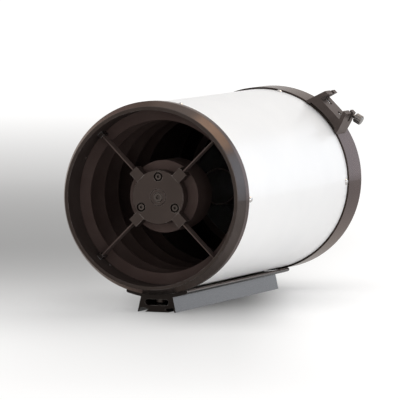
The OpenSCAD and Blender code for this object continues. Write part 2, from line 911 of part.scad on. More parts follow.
// Cross-section of the bar: x across, y down from the optical axis
module bar_outline() {
    tip_r = wing_in + wing_t / 2;
    tip_angle = asin((wing_w - wing_t) / 2 / tip_r);
    top = wing_in + wing_t / 2;
    difference() {
        union() {
            intersection() {
                difference() {
                    circle(r = wing_r);
                    circle(r = wing_in);
                }
                polygon([
                    [0, 0],
                    [2 * tip_r * sin(tip_angle), 2 * tip_r * cos(tip_angle)],
                    [-2 * tip_r * sin(tip_angle), 2 * tip_r * cos(tip_angle)]
                ]);
            }
            for (side = [-1, 1])
                rotate(side * tip_angle) translate([0, tip_r]) circle(d = wing_t);
            difference() {
                polygon([
                    [-bar_side(axis_h - top), top],
                    [bar_side(axis_h - top), top],
                    [bar_side(0), axis_h],
                    [-bar_side(0), axis_h]
                ]);
                circle(r = wing_in);
            }
        }
        translate([0, axis_h - hollow_up]) slot_outline(hollow_w, hollow_h);
        for (side = [0, 1])
            mirror([side, 0])
                polygon([
                    [foot_w / 2, axis_h + over],
                    [foot_w / 2, axis_h],
                    [foot_w / 2 - groove_in, axis_h - groove_h * nose_share],
                    [bar_side(groove_h) - lip_w, axis_h - groove_h],
                    [bar_side(0) - lip_w, axis_h],
                    [bar_side(0) - lip_w, axis_h + over]
                ]);
    }
}

module dovetail_bar() {
    access_d = bar_head_d + 2 * access_room;
    color(bar_grey)
        difference() {
            union() {
                at_station(s_bar) linear_extrude(height = bar_len) bar_outline();
                at_bar_bolts(tube_ir) cylinder(d = bar_seat_d, h = wing_in + wing_t / 2 - tube_ir);
            }
            at_station(s_bar - over) cylinder(r = tube_r + fit, h = bar_len + 2 * over);
            at_bar_bolts(tube_ir)
                cylinder(d = bar_thread_d + 2 * fit, h = hollow_top_r + over - tube_ir);
            at_bar_bolts(hollow_top_r + hollow_h / 2)
                cylinder(d = access_d, h = axis_h + over - hollow_top_r - hollow_h / 2);
        }
}

module dovetail_bolts() {
    color(steel)
        at_bar_bolts(hollow_top_r)
            socket_screw(bar_head_d, bar_head_h, bar_thread_d, hollow_top_r - aperture_r - lip_step * 2);
}

// Cross-section of the shoe: x out from the axis, y across the channel
module shoe_outline() {
    polygon([
        [shoe_root, -shoe_base_w / 2],
        [jaw_r, -shoe_top_w / 2],
        [jaw_r, -mouth_w / 2],
        [floor_r, -channel_w / 2],
        [floor_r, channel_w / 2],
        [jaw_r, mouth_w / 2],
        [jaw_r, shoe_top_w / 2],
        [shoe_root, shoe_base_w / 2]
    ]);
}

// Outline of the shoe from above, with its back corners round: x runs back to front
module shoe_plan() {
    half = shoe_base_w / 2;
    inner = half - shoe_corner;
    translate([shoe_corner - shoe_len, -half]) square([shoe_len - shoe_corner, shoe_base_w]);
    translate([-shoe_len, -inner]) square([2 * shoe_corner, 2 * inner]);
    for (side = [-1, 1])
        translate([shoe_corner - shoe_len, side * inner]) circle(r = shoe_corner);
}

module finder_shoe() {
    sunk = shoe_head_h + 2 * clear;
    through_len = slot_len - shoe_head_d + shoe_thread_d;
    arch_half = shoe_side(ring_r) - shoe_foot_w;
    color(black)
        difference() {
            intersection() {
                in_shoe(s_shoe) linear_extrude(height = shoe_len) shoe_outline();
                in_shoe(s_shoe) rotate([0, 90, 0]) linear_extrude(height = 2 * jaw_r) shoe_plan();
            }
            at_station(s_shoe - over) cylinder(r = ring_r + fit, h = shoe_len + 2 * over);
            intersection() {
                at_station(s_shoe - over) cylinder(r = ring_r + shoe_arch, h = shoe_len + 2 * over);
                in_shoe(s_shoe - over)
                    translate([0, -arch_half, 0]) cube([jaw_r, 2 * arch_half, shoe_len + 2 * over]);
            }
            at_shoe_bolts(floor_r - sunk)
                linear_extrude(height = sunk + over)
                    rotate(90) slot_outline(slot_len, shoe_head_d + 2 * clear);
            at_shoe_bolts(shoe_root)
                linear_extrude(height = floor_r - shoe_root)
                    rotate(90) slot_outline(through_len, shoe_thread_d + 2 * fit);
            in_shoe(s_shoe + relief_set)
                translate([floor_r, -shoe_base_w, 0]) cube([jaw_h + over, 2 * shoe_base_w, relief_w]);
            at_shoe_screw(-shoe_screw_wall) cylinder(d = thumb_thread_d + 2 * run, h = 2 * shoe_base_w);
        }
}

module finder_bolts() {
    seat_r = floor_r - shoe_head_h - 2 * clear;
    color(steel)
        at_shoe_bolts(seat_r)
            socket_screw(shoe_head_d, shoe_head_h, shoe_thread_d, seat_r - aperture_r - 2 * skirt_t);
}

module finder_thumbscrew() {
    out = shoe_screw_wall + shoe_thumb_out;
    color(steel)
        at_shoe_screw(out)
            thumbscrew(shoe_thumb_d, shoe_thumb_h, thumb_thread_d, out - 2 * clear);
}

module ball_washer() {
    bore_r = centre_thread_d / 2 + clear;
    well_r = centre_head_d / 2 + head_room;
    color(steel)
        difference() {
            intersection() {
                at_station(s_washer) cylinder(r = washer_r, h = ball_r);
                at_station(s_pivot) sphere(r = ball_r - run);
            }
            at_station(s_washer - over) {
                cylinder(r = well_r, h = s_ball_top - s_washer + over);
                cylinder(r = bore_r, h = ball_r + 2 * over);
            }
        }
}

module centre_bolt() {
    head_h = s_ball_top - clear - hub_set;
    color(steel)
        at_station(s_ball_top - clear)
            facing_front()
                socket_screw(centre_head_d, head_h, centre_thread_d, s_cell_plate - s_ball_top);
}

module secondary_cell() {
    color(black)
        difference() {
            at_station(s_cell) cylinder(d = cell_d, h = cell_len);
            at_station(s_cell_plate) cylinder(r = cell_ir, h = cell_len);
            at_station(s_cell - over) cylinder(d = centre_thread_d + 2 * run, h = cell_plate + 2 * over);
        }
}

// Depth of a curved mirror face at a radius, against its edge
function dish(r, edge_r, curve) = (edge_r * edge_r - r * r) / (2 * curve);

// Points across a curved mirror face, from one radius to another
function dish_points(r_from, r_to, edge_r, edge_s, curve) = [
    for (k = [0:dish_steps])
        let (r = r_from + (r_to - r_from) * k / dish_steps)
            [r, edge_s + dish(r, edge_r, curve)]
];

module secondary_mirror() {
    face = dish_points(secondary_r, 0, secondary_r, s_secondary_edge, secondary_curve);
    color(mirror_tint)
        at_station(0)
            revolve(concat([[0, s_secondary], [secondary_r, s_secondary]], face));
}

module secondary_retainer() {
    ring_len = cell_plate / 2;
    ring_ir = secondary_r - cell_wall;
    color(black)
        at_station(s_secondary_edge + dish(ring_ir, secondary_r, secondary_curve) + fit)
            hollow_ring(secondary_r, ring_ir, ring_len);
}

module tilt_screw(i) {
    head_h = tilt_recess - 2 * clear;
    s_seat = hub_set + tilt_recess - clear;
    color(black)
        at_station(s_seat)
            around(pair_angle(i)) translate([tilt_r, 0, 0])
                facing_front()
                    socket_screw(tilt_head_d, head_h, tilt_thread_d, s_cell - tilt_gap - s_seat);
}

module cell_seal() {
    color(foam)
        at_station(plate_back + seal_gap)
            hollow_ring(seal_ir + seal_w, seal_ir, plate_gap - 2 * seal_gap);
}

module primary_cell() {
    stalk_hole_r = stalk_r + fit;
    color(black)
        difference() {
            at_station(0)
                revolve([
                    [stalk_hole_r, plate_front],
                    [cell_rim_ir, plate_front],
                    [cell_rim_ir, mirror_edge],
                    [cell_rim_r, mirror_edge],
                    [cell_rim_r, plate_back],
                    [neck_r, plate_back],
                    [neck_r, neck_end],
                    [neck_bore_r, neck_end],
                    [neck_bore_r, s_stalk_seat],
                    [stalk_hole_r, s_stalk_seat]
                ]);
            for (i = [1:pairs])
                at_pair(i, 0, s_stalk_seat) cylinder(d = pull_thread_d + 2 * clear, h = plate_t);
        }
}

module primary_mirror() {
    hole_r = stalk_r + hole_gap;
    face = dish_points(mirror_r, hole_r, mirror_r, mirror_edge, mirror_curve);
    color(mirror_tint)
        at_station(0)
            revolve(concat([[hole_r, mirror_back], [mirror_r, mirror_back]], face));
}

module primary_retainer() {
    color(black)
        at_station(mirror_edge - retainer_t)
            hollow_ring(cell_rim_r, mirror_r - retainer_lap, retainer_t);
}

module baffle_tube() {
    seat_r = neck_bore_r - clear;
    color(black)
        at_station(0)
            revolve([
                [stalk_tip_r - stalk_wall, s_stalk_tip],
                [stalk_tip_r, s_stalk_tip],
                [stalk_r, mirror_edge],
                [stalk_r, s_stalk_seat],
                [seat_r, s_stalk_seat],
                [seat_r, s_stalk_seat + stalk_flange],
                [stalk_r - stalk_wall, s_stalk_seat + stalk_flange],
                [stalk_r - stalk_wall, mirror_edge]
            ]);
}

module pull_screw(i) {
    color(chrome)
        at_pair(i, 0, s_back + clear)
            socket_screw(pull_head_d, pull_head_h, pull_thread_d, s_back - s_stalk_seat - 2 * clear);
}

module push_screw(i) {
    key_d = push_thread_d / 2;
    screw_len = plate_gap + back_t + push_proud - push_gap;
    color(steel)
        at_pair(i, pair_step, plate_back + push_gap)
            difference() {
                cylinder(d = push_thread_d, h = screw_len);
                translate([0, 0, screw_len - key_d]) cylinder(d = key_d, h = push_thread_d, $fn = 6);
            }
}

module focuser_adapter() {
    ring_len = adapter_len - fit;
    color(satin_black)
        at_station(s_adapter)
            difference() {
                knob_blank(adapter_d, ring_len);
                translate([0, 0, -over]) cylinder(r = neck_r + fit, h = ring_len + 2 * over);
                flutes(adapter_d, ring_len, adapter_flutes);
            }
}

// Pockets for the rollers, with the holes for their pins
module roller_pockets() {
    for (s = s_rollers)
        at_station(s)
            for (angle = roller_angles)
                around(angle) {
                    translate([barrel_ir - over, -roller_w / 2 - clear, -roller_d / 2 - clear])
                        cube([pocket_r + over - barrel_ir, roller_w + 2 * clear, roller_d + 2 * clear]);
                    translate([roller_r, -roller_pin / 2 - clear, 0])
                        facing_down() cylinder(d = roller_pin_d + 2 * run, h = roller_pin + 2 * clear);
                }
}

// Places of the four screws under the housing
module at_cover_screws(drop) {
    inset_x = (housing_w + saddle_w) / 4;
    inset_s = (housing_len + saddle_len) / 4;
    at_station(s_shaft)
        for (x = [-inset_x, inset_x])
            for (s = [-inset_s, inset_s])
                translate([x, drop, s]) facing_down() children();
}

module focuser_body() {
    pocket_w = saddle_w + 2 * clear;
    pocket_len = saddle_len + 2 * clear;
    cover_hole = cover_grip + clear;
    color(black)
        difference() {
            union() {
                at_station(s_body) cylinder(r = flange_r, h = flange_t);
                at_station(s_body) cylinder(r = barrel_r, h = body_len);
                at_station(s_shaft)
                    translate([-housing_w / 2, 0, -housing_len / 2])
                        cube([housing_w, housing_drop, housing_len]);
            }
            at_station(s_body - over) cylinder(r = barrel_ir, h = body_len + 2 * over);
            roller_pockets();
            at_station(s_shaft) {
                translate([-pocket_w / 2, flat_drop - over, -pocket_len / 2])
                    cube([pocket_w, housing_drop, pocket_len]);
                translate([-housing_w / 2 - over, shaft_drop, 0])
                    rotate([0, 90, 0]) cylinder(d = shaft_d + 2 * clear, h = housing_w + 2 * over);
                radial(90, draw_r) cylinder(d = focus_thread_d + 2 * run, h = 2 * barrel_r);
            }
            at_cover_screws(housing_drop - cover_hole)
                cylinder(d = cover_thread_d + 2 * run, h = cover_hole + over);
        }
}

module shaft_saddle() {
    color(steel)
        at_station(s_shaft)
            difference() {
                translate([-saddle_w / 2, saddle_top, -saddle_len / 2])
                    cube([saddle_w, saddle_bottom - saddle_top, saddle_len]);
                translate([-saddle_w / 2 - over, shaft_drop, 0])
                    rotate([0, 90, 0]) cylinder(d = shaft_d + 2 * run, h = saddle_w + 2 * over);
            }
}

module saddle_cover() {
    color(black)
        difference() {
            at_station(s_shaft)
                translate([-housing_w / 2, housing_drop, -housing_len / 2])
                    cube([housing_w, cover_t, housing_len]);
            at_station(s_shaft)
                translate([0, housing_drop - over, 0])
                    facing_down() cylinder(d = focus_thread_d + 2 * run, h = cover_t + 2 * over);
            at_cover_screws(housing_drop - over)
                cylinder(d = cover_thread_d + 2 * fit, h = cover_t + 2 * over);
        }
}

module cover_screws() {
    color(steel)
        at_cover_screws(housing_drop + cover_t)
            socket_screw(cover_head_d, cover_head_h, cover_thread_d, cover_t + cover_grip);
}

module drawtube() {
    draw_len = s_collar_seat - s_draw - fit;
    color(chrome)
        at_station(s_draw)
            difference() {
                cylinder(r = draw_r, h = draw_len);
                translate([0, 0, -over]) cylinder(r = draw_r - draw_wall, h = draw_len + 2 * over);
                translate([-draw_r, flat_drop, -over]) cube([draw_d, draw_r, s_body_end - s_draw + over]);
            }
}

module roller(i) {
    row = s_rollers[floor((i - 1) / 2)];
    angle = roller_angles[(i - 1) % 2];
    color(steel)
        at_station(row) around(angle) translate([roller_r, 0, 0]) {
            translate([0, -roller_w / 2, 0]) facing_down() cylinder(d = roller_d, h = roller_w);
            translate([0, -roller_pin / 2, 0]) facing_down() cylinder(d = roller_pin_d, h = roller_pin);
        }
}

// Local z runs out along the focus shaft, to the right for side 1 and to the left for side -1
module along_shaft(side, x) {
    at_station(s_shaft)
        translate([side * x, shaft_drop, 0]) rotate([0, side * 90, 0]) children();
}

module focus_shaft() {
    half = knob_x + coarse_w - fine_pin - clear;
    color(steel) along_shaft(1, -half) cylinder(d = shaft_d, h = 2 * half);
}

module coarse_knob(side) {
    color(satin_black)
        along_shaft(side, knob_x)
            difference() {
                knob_blank(coarse_d, coarse_w);
                flutes(coarse_d, coarse_w, coarse_flutes);
                translate([0, 0, -over]) cylinder(d = shaft_d + 2 * run, h = coarse_w - fine_pin + over);
                if (side > 0)
                    translate([0, 0, coarse_w - fine_pin - clear])
                        cylinder(d = fine_pin_d + 2 * run, h = fine_pin + over + clear);
            }
}

module coarse_knob_left() {
    coarse_knob(-1);
}

module coarse_knob_right() {
    coarse_knob(1);
}

module fine_knob() {
    color(chrome)
        along_shaft(1, fine_x) {
            difference() {
                knob_blank(fine_d, fine_w);
                flutes(fine_d, fine_w, fine_flutes);
            }
            translate([0, 0, -fine_pin]) cylinder(d = fine_pin_d, h = fine_pin + fine_w / 2);
        }
}

module tension_screw() {
    head_drop = housing_drop + cover_t + 2 * clear;
    thread_len = head_drop - saddle_bottom - clear;
    color(chrome)
        at_station(s_shaft)
            translate([0, head_drop, 0])
                facing_down()
                    thumbscrew(focus_thumb_d, focus_thumb_h, focus_thread_d, thread_len);
}

module lock_screw() {
    head_r = barrel_r + 2 * clear;
    color(chrome)
        at_station(s_shaft)
            radial(90, head_r)
                thumbscrew(focus_thumb_d, focus_thumb_h, focus_thread_d, head_r - draw_r - clear);
}

module eyepiece_collar() {
    groove_half = clamp_w / 2 + fit;
    color(satin_black)
        difference() {
            at_station(0)
                revolve([
                    [draw_r + fit, s_collar],
                    [collar_r - collar_bevel, s_collar],
                    [collar_r, s_collar + collar_bevel],
                    [collar_r, s_mouth - collar_bevel],
                    [collar_r - collar_bevel, s_mouth],
                    [eyepiece_r, s_mouth],
                    [eyepiece_r, s_clamp + groove_half],
                    [groove_r, s_clamp + groove_half],
                    [groove_r, s_clamp - groove_half],
                    [eyepiece_r, s_clamp - groove_half],
                    [eyepiece_r, s_collar_seat],
                    [draw_r + fit, s_collar_seat]
                ]);
            for (i = [1:collar_screws])
                at_station(s_clamp)
                    radial(collar_screw_angle(i), eyepiece_r)
                        cylinder(d = thumb_thread_d + 2 * run, h = collar_r);
        }
}

// Split ring of brass that the collar screws press on the eyepiece barrel
module clamp_ring() {
    color(brass)
        at_station(s_clamp - clamp_w / 2)
            difference() {
                hollow_ring(clamp_r, clamp_ir, clamp_w);
                translate([-clamp_split / 2, 0, -over])
                    cube([clamp_split, 2 * collar_r, clamp_w + 2 * over]);
            }
}

function collar_screw_angle(i) = 90 + collar_angle * (2 * i - 3);

module collar_screw(i) {
    head_r = collar_r + 2 * clear;
    color(chrome)
        at_station(s_clamp)
            radial(collar_screw_angle(i), head_r)
                thumbscrew(collar_thumb_d, collar_thumb_h, thumb_thread_d, head_r - clamp_r - clear);
}

tube();
front_ring();
rear_ring();
spider_hub();
for (i = [1:vanes]) spider_vane(i);
for (i = [1:baffles]) tube_baffle(i);
front_screws();
rear_screws();
dovetail_bar();
dovetail_bolts();
finder_shoe();
finder_bolts();
finder_thumbscrew();
ball_washer();
centre_bolt();
secondary_cell();
secondary_mirror();
secondary_retainer();
for (i = [1:pairs]) tilt_screw(i);
cell_seal();
primary_cell();
primary_mirror();
primary_retainer();
baffle_tube();
for (i = [1:pairs]) pull_screw(i);
for (i = [1:pairs]) push_screw(i);
focuser_adapter();
focuser_body();
shaft_saddle();
saddle_cover();
cover_screws();
drawtube();
for (i = [1:rollers]) roller(i);
focus_shaft();
coarse_knob_left();
coarse_knob_right();
fine_knob();
tension_screw();
lock_screw();
eyepiece_collar();
clamp_ring();
for (i = [1:collar_screws]) collar_screw(i);
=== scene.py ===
"""Looks of an open-front two-mirror telescope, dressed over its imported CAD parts. Metres, +Z up."""

import json
import math

import bpy
from mathutils import Matrix, Vector


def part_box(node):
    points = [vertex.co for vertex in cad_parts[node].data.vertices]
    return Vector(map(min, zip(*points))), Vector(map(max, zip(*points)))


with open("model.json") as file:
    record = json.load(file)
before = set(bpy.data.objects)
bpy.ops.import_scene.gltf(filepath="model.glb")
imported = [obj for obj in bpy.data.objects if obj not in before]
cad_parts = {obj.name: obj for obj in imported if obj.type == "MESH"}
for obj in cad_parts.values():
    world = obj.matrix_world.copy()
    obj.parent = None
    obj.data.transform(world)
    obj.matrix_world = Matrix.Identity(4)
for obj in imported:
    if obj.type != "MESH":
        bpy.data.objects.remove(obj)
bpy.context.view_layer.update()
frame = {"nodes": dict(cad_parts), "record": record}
nodes = frame["nodes"]

MM = 0.001

# The optical axis runs along Y through the middle of the tube. Lamps face a point on it
tube_low, tube_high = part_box("tube")
AXIS_HEIGHT = (tube_low.z + tube_high.z) / 2
AIM = Vector((0, 0, AXIS_HEIGHT))

# Camera at the photograph's viewing angle: its place from that point, angles in degrees, lens in mm
CAMERA_OFFSET = Vector((2.04394, -5.72808, 0.39633))
CAMERA_AZIMUTH = 19.754
CAMERA_ELEVATION = 3.855
CAMERA_ROLL = 0.307
CAMERA_LENS = 495.0
CAMERA_SENSOR = 36.0


# Node helpers

# Most values of a noise texture lie between these two
NOISE_LOW = 0.3
NOISE_HIGH = 0.7

# Scale of a grain that is the same in every direction
EVEN = (1, 1, 1)

# Rays that work out a rounded edge
EDGE_RAYS = 6

# How far a rounded edge turns from its face where edge wear and painted edge highlights begin and where they
# are full, as one less the cosine
WEAR_AND_HIGHLIGHT_BEGINS = 0.02
WEAR_AND_HIGHLIGHT_FULL = 0.25


def start_material(name):
    """A new node material with its shader, ready for links."""
    made = bpy.data.materials.new(name)
    made.use_nodes = True
    return made, made.node_tree, made.node_tree.nodes["Principled BSDF"]


def add(tree, kind, **values):
    """A new node, with properties and input sockets set by name."""
    node = tree.nodes.new("ShaderNode" + kind)
    for key, value in values.items():
        socket = key.replace("_", " ").title()
        if socket in node.inputs:
            node.inputs[socket].default_value = value
        else:
            setattr(node, key, value)
    return node


def place(tree):
    """Coordinates that stay with the piece, in metres."""
    return add(tree, "TexCoord").outputs["Object"]


def grain(tree, wave, stretch=EVEN, detail=3.0):
    """Noise whose lumps are about one wave across, in metres."""
    mapping = add(tree, "Mapping", scale=stretch)
    tree.links.new(place(tree), mapping.inputs["Vector"])
    noise = add(tree, "TexNoise", scale=1.0 / wave, detail=detail)
    tree.links.new(mapping.outputs["Vector"], noise.inputs["Vector"])
    return noise.outputs["Fac"]


def ranged(tree, source, low, high, source_low=NOISE_LOW, source_high=NOISE_HIGH):
    """A value between two source values turned into a value from low to high."""
    spread = add(tree, "MapRange", from_min=source_low, from_max=source_high, to_min=low, to_max=high)
    tree.links.new(source, spread.inputs["Value"])
    return spread.outputs["Result"]


def toned(tree, source, dark, light, source_low=NOISE_LOW, source_high=NOISE_HIGH):
    """A value between two source values turned into a colour from dark to light."""
    tones = add(tree, "ValToRGB")
    first, last = tones.color_ramp.elements
    first.position = source_low
    first.color = (*dark, 1)
    last.position = source_high
    last.color = (*light, 1)
    tree.links.new(source, tones.inputs["Fac"])
    return tones.outputs["Color"]


def ramp(tree, source, stops):
    """A value on a smooth curve through the stops, which are in the units of the source."""
    low, high = stops[0][0], stops[-1][0]
    curve = add(tree, "ValToRGB")
    curve.color_ramp.interpolation = "CARDINAL"
    points = curve.color_ramp.elements
    while len(points) < len(stops):
        points.new(1.0)
    for point, (where, level) in zip(points, stops):
        point.position = (where - low) / (high - low)
        point.color = (level, level, level, 1)
    tree.links.new(ranged(tree, source, 0.0, 1.0, low, high), curve.inputs["Fac"])
    return curve.outputs["Color"]


def rounded(tree, radius):
    """Normals with the edges rounded to a radius in metres."""
    return add(tree, "Bevel", samples=EDGE_RAYS, radius=radius).outputs["Normal"]


def bumped(tree, shader, source, depth, edge=0.0):
    """Gives a shader fine relief of a depth over edges rounded to a radius, both in metres."""
    bump = add(tree, "Bump", distance=depth)
    tree.links.new(source, bump.inputs["Height"])
    if edge:
        tree.links.new(rounded(tree, edge), bump.inputs["Normal"])
    tree.links.new(bump.outputs["Normal"], shader.inputs["Normal"])


def edge_mask(tree, radius):
    """One along sharp edges, fading to zero within a radius in metres."""
    geometry = add(tree, "NewGeometry")
    turn = add(tree, "VectorMath", operation="DOT_PRODUCT")
    tree.links.new(rounded(tree, radius), turn.inputs[0])
    tree.links.new(geometry.outputs["Normal"], turn.inputs[1])
    return ranged(tree, turn.outputs["Value"], 0.0, 1.0, 1.0 - WEAR_AND_HIGHLIGHT_BEGINS, 1.0 - WEAR_AND_HIGHLIGHT_FULL)


def mixed(tree, mask, under, over):
    """One colour over another by a mask."""
    mix = add(tree, "Mix", data_type="RGBA")
    tree.links.new(mask, mix.inputs["Factor"])
    tree.links.new(under, mix.inputs["A"])
    mix.inputs["B"].default_value = (*over, 1)
    return mix.outputs["Result"]


def times(tree, first, second):
    """Product of two values."""
    product = add(tree, "Math", operation="MULTIPLY")
    tree.links.new(first, product.inputs[0])
    tree.links.new(second, product.inputs[1])
    return product.outputs["Value"]


def rest_of(tree, value):
    """One less a value."""
    rest = add(tree, "Math", operation="SUBTRACT")
    rest.inputs[0].default_value = 1.0
    tree.links.new(value, rest.inputs[1])
    return rest.outputs["Value"]


def seen_rays(tree):
    """One for rays from the camera, from reflections and through glass."""
    path = add(tree, "LightPath")
    shown = add(tree, "Math", operation="MAXIMUM")
    tree.links.new(path.outputs["Is Glossy Ray"], shown.inputs[0])
    tree.links.new(path.outputs["Is Transmission Ray"], shown.inputs[1])
    seen = add(tree, "Math", operation="MAXIMUM")
    tree.links.new(path.outputs["Is Camera Ray"], seen.inputs[0])
    tree.links.new(shown.outputs["Value"], seen.inputs[1])
    return seen.outputs["Value"]


# Kinds of material

# Radius to which the edges of most pieces look rounded
EDGE = 0.25 * MM

# Width of the clouds of tone: in grains on a coat, in metres on bare metal
CLOUD_GRAINS = 60
METAL_CLOUD = 4 * MM

# Worn edges and painted edge highlights come in patches of about this width, where their noise goes from the
# low to the high value
WEAR_AND_HIGHLIGHT_PATCH = 6 * MM
PATCH_LOW = 0.42
PATCH_HIGH = 0.62

# Orange peel of the enamel, and its clouds of tone
PEEL = 2.2 * MM
PEEL_DEPTH = 0.0015 * MM
ENAMEL_CLOUD = 70 * MM

# Haze on a mirror, and the cells of the foam
HAZE = 22 * MM
FOAM_CELL = 0.9 * MM
FOAM_DEPTH = 0.25 * MM


def coated(
    name, dark, light, rough, wave, depth,
    wear=None, wear_radius=0.0, edge=EDGE, stretch=EVEN, **sockets,
):
    """Painted, powder-coated or anodised metal: mottled colour, varied gloss, fine bump, worn edges, which
    on some paints are a painted edge highlight instead.

    Sockets are other inputs of the shader, with _ for a space.
    """
    made, tree, shader = start_material(name)
    cloud = grain(tree, CLOUD_GRAINS * wave, detail=4.0)
    fine = grain(tree, wave, stretch)
    colour = toned(tree, cloud, dark, light)
    if wear:
        patch = ranged(tree, grain(tree, WEAR_AND_HIGHLIGHT_PATCH, detail=5.0), 0.0, 1.0, PATCH_LOW, PATCH_HIGH)
        colour = mixed(tree, times(tree, edge_mask(tree, wear_radius), patch), colour, wear)
    tree.links.new(colour, shader.inputs["Base Color"])
    tree.links.new(ranged(tree, fine, *rough), shader.inputs["Roughness"])
    bumped(tree, shader, fine, depth, edge)
    for socket, value in sockets.items():
        shader.inputs[socket.replace("_", " ")].default_value = value
    return made


def bare_metal(name, dark, light, rough, wave, depth, stretch=EVEN):
    """Plain or plated metal with the fine marks of its machining."""
    made, tree, shader = start_material(name)
    fine = grain(tree, wave, stretch, detail=4.0)
    cloud = grain(tree, METAL_CLOUD, detail=4.0)
    tree.links.new(toned(tree, cloud, dark, light), shader.inputs["Base Color"])
    tree.links.new(ranged(tree, fine, *rough), shader.inputs["Roughness"])
    shader.inputs["Metallic"].default_value = 1.0
    bumped(tree, shader, fine, depth, EDGE)
    return made


def white_enamel():
    """White coat of the tube, with a trace of orange peel."""
    made, tree, shader = start_material("white_enamel")
    peel = grain(tree, PEEL, detail=2.0)
    cloud = grain(tree, ENAMEL_CLOUD)
    colour = toned(tree, cloud, dark=(0.905, 0.908, 0.915), light=(0.935, 0.936, 0.940))
    tree.links.new(colour, shader.inputs["Base Color"])
    tree.links.new(ranged(tree, peel, low=0.36, high=0.42), shader.inputs["Roughness"])
    shader.inputs["Specular IOR Level"].default_value = 0.25
    shader.inputs["Coat Weight"].default_value = 0.1
    shader.inputs["Coat Roughness"].default_value = 0.12
    bumped(tree, shader, peel, PEEL_DEPTH)
    return made


def mirror_coat(name, centre=None):
    """Bright coat on glass. Given the centre of a dish, it reflects as a true sphere about that point."""
    made, tree, shader = start_material(name)
    haze = grain(tree, HAZE)
    colour = toned(tree, haze, dark=(0.84, 0.86, 0.88), light=(0.90, 0.91, 0.92))
    tree.links.new(colour, shader.inputs["Base Color"])
    tree.links.new(ranged(tree, haze, low=0.015, high=0.05), shader.inputs["Roughness"])
    shader.inputs["Metallic"].default_value = 0.9
    if centre:
        inward = add(tree, "VectorMath", operation="SUBTRACT")
        inward.inputs[0].default_value = centre
        tree.links.new(place(tree), inward.inputs[1])
        posed = add(
            tree, "VectorTransform", vector_type="NORMAL", convert_from="OBJECT", convert_to="WORLD"
        )
        tree.links.new(inward.outputs["Vector"], posed.inputs["Vector"])
        facing = add(tree, "VectorMath", operation="NORMALIZE")
        tree.links.new(posed.outputs["Vector"], facing.inputs[0])
        tree.links.new(facing.outputs["Vector"], shader.inputs["Normal"])
    return made


def foam_rubber():
    """Dull black foam with open cells."""
    made, tree, shader = start_material("foam_rubber")
    cells = add(tree, "TexVoronoi", scale=1 / FOAM_CELL)
    tree.links.new(place(tree), cells.inputs["Vector"])
    colour = toned(
        tree, cells.outputs["Distance"], dark=(0.012, 0.012, 0.012), light=(0.05, 0.05, 0.05),
        source_low=0.1, source_high=0.7,
    )
    tree.links.new(colour, shader.inputs["Base Color"])
    shader.inputs["Roughness"].default_value = 0.95
    bumped(tree, shader, cells.outputs["Distance"], FOAM_DEPTH)
    return made


# Paints of the rings: satin black that turns tan at grazing angles, with a painted highlight along the front
# ring's edges and a painted sheen on its cone

TAN_EDGE = (0.45, 0.33, 0.26, 1)
RING_COAT = dict(rough=(0.20, 0.28), wave=0.35 * MM, depth=0.0015 * MM, Specular_Tint=TAN_EDGE)
RING_TONES = dict(dark=(0.030, 0.0235, 0.0210), light=(0.038, 0.0300, 0.0270), Metallic=0.5)
# Light edges of the front ring: a painted edge highlight, not wear
RIM_HIGHLIGHT_EDGES = dict(wear=(0.24, 0.235, 0.245), wear_radius=1.2 * MM, edge=1.0 * MM)

ring_satin = coated(
    "ring_satin", wear=(0.16, 0.14, 0.13), wear_radius=0.5 * MM, edge=0.8 * MM, **RING_TONES, **RING_COAT
)
rim_satin = coated("rim_satin", **RIM_HIGHLIGHT_EDGES, **RING_TONES, **RING_COAT)
# Lighter, more metallic copy of the ring paint, on the front ring's cone only: painted sheen
cone_painted_sheen = coated(
    "cone_painted_sheen", dark=(0.056, 0.047, 0.044), light=(0.068, 0.058, 0.055), Metallic=0.7,
    **RIM_HIGHLIGHT_EDGES, **RING_COAT,
)


# Paints of the inside and of the spider: dull warm blacks

WARM_SHEEN = (1.0, 0.87, 0.77, 1)
INSIDE_COAT = dict(
    rough=(0.72, 0.88), wave=0.45 * MM, depth=0.02 * MM, Specular_Tint=WARM_SHEEN, Specular_IOR_Level=0.15
)

flat_black = coated(
    "flat_black", dark=(0.062, 0.0400, 0.0360), light=(0.081, 0.0570, 0.0525), **INSIDE_COAT
)
baffle_black = coated(
    "baffle_black", dark=(0.048, 0.0312, 0.0282), light=(0.063, 0.0440, 0.0405), **INSIDE_COAT
)
# Partly the flat black inside the ring, partly painted shade: darker than the tube's inside paint to stand
# in for the shade in the recess behind the lip
bore_black = coated(
    "bore_black", dark=(0.020, 0.0140, 0.0125), light=(0.028, 0.0205, 0.0185), rough=(0.60, 0.74),
    wave=0.45 * MM, depth=0.01 * MM, Specular_Tint=WARM_SHEEN, Specular_IOR_Level=0.1,
)
# Hub paint: its light edges are a painted edge highlight, not wear
hub_coat = coated(
    "hub_coat", dark=(0.018, 0.0110, 0.0096), light=(0.025, 0.0160, 0.0142), rough=(0.46, 0.58),
    wave=0.30 * MM, depth=0.008 * MM, wear=(0.26, 0.23, 0.215), wear_radius=0.9 * MM,
    Specular_Tint=WARM_SHEEN, Specular_IOR_Level=0.4,
)
vane_paint = coated(
    "vane_paint", dark=(0.066, 0.047, 0.042), light=(0.086, 0.063, 0.057), rough=(0.46, 0.60),
    wave=0.40 * MM, depth=0.008 * MM, Specular_Tint=WARM_SHEEN, Specular_IOR_Level=0.2,
)
cell_black = coated(
    "cell_black", dark=(0.062, 0.041, 0.037), light=(0.080, 0.056, 0.051), rough=(0.52, 0.68),
    wave=0.35 * MM, depth=0.010 * MM, wear=(0.12, 0.10, 0.095), wear_radius=0.4 * MM,
    Specular_Tint=WARM_SHEEN, Specular_IOR_Level=0.2,
)


# Paints of the bar, its grain drawn out along it, with a painted highlight on the tops of its wings, and of
# the finder shoe, the focuser and the dark screws

BAR_COAT = dict(
    wave=0.30 * MM, depth=0.002 * MM, stretch=(1, 0.02, 1), wear=(0.34, 0.32, 0.31), wear_radius=0.7 * MM
)

